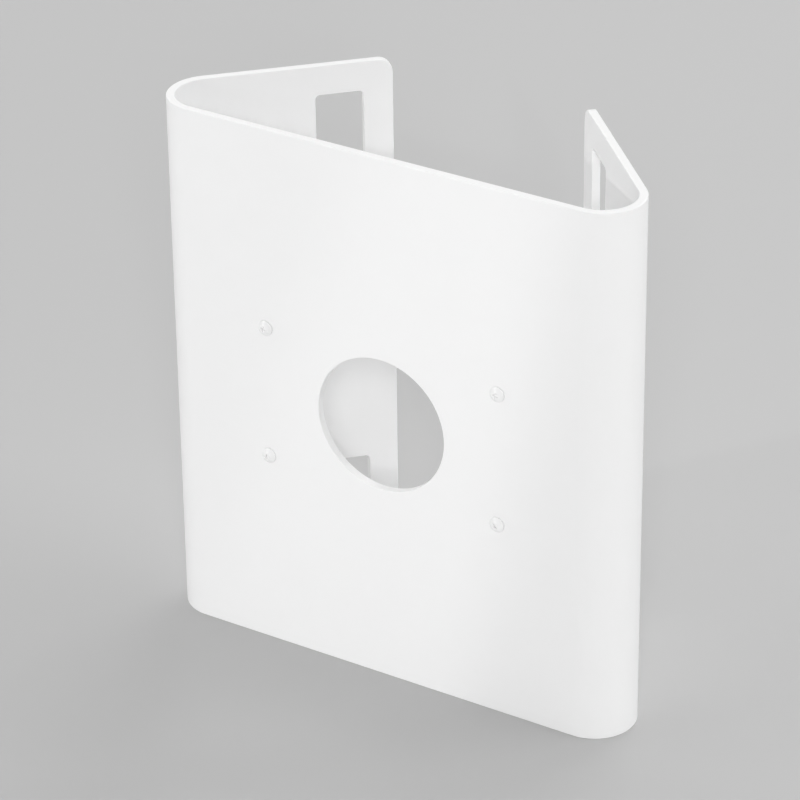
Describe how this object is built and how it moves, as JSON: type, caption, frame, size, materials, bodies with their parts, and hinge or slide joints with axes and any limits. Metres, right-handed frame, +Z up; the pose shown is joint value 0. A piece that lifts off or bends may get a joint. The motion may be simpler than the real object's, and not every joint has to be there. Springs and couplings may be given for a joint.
{
  "type": "camera pole mount",
  "caption": "Folded steel plate that straps to a pole and carries a camera: flat front with cable hole and screws, leaning side flanges with band slots.",
  "frame": {"origin": "middle of the cable hole on the front face, where the camera sits", "axes": "+X to the right of someone facing the front, +Y back towards the pole, +Z up along the pole"},
  "size_m": [0.182, 0.0745, 0.2],
  "materials": {
    "plate_powder_coat": "white powder coat, semi-gloss with a fine texture",
    "screw_white_coat": "white paint over steel, semi-gloss"
  },
  "bodies": {
    "root": {"folded_plate": "plate_powder_coat", "camera_screws": "screw_white_coat"}
  },
  "joints": []
}
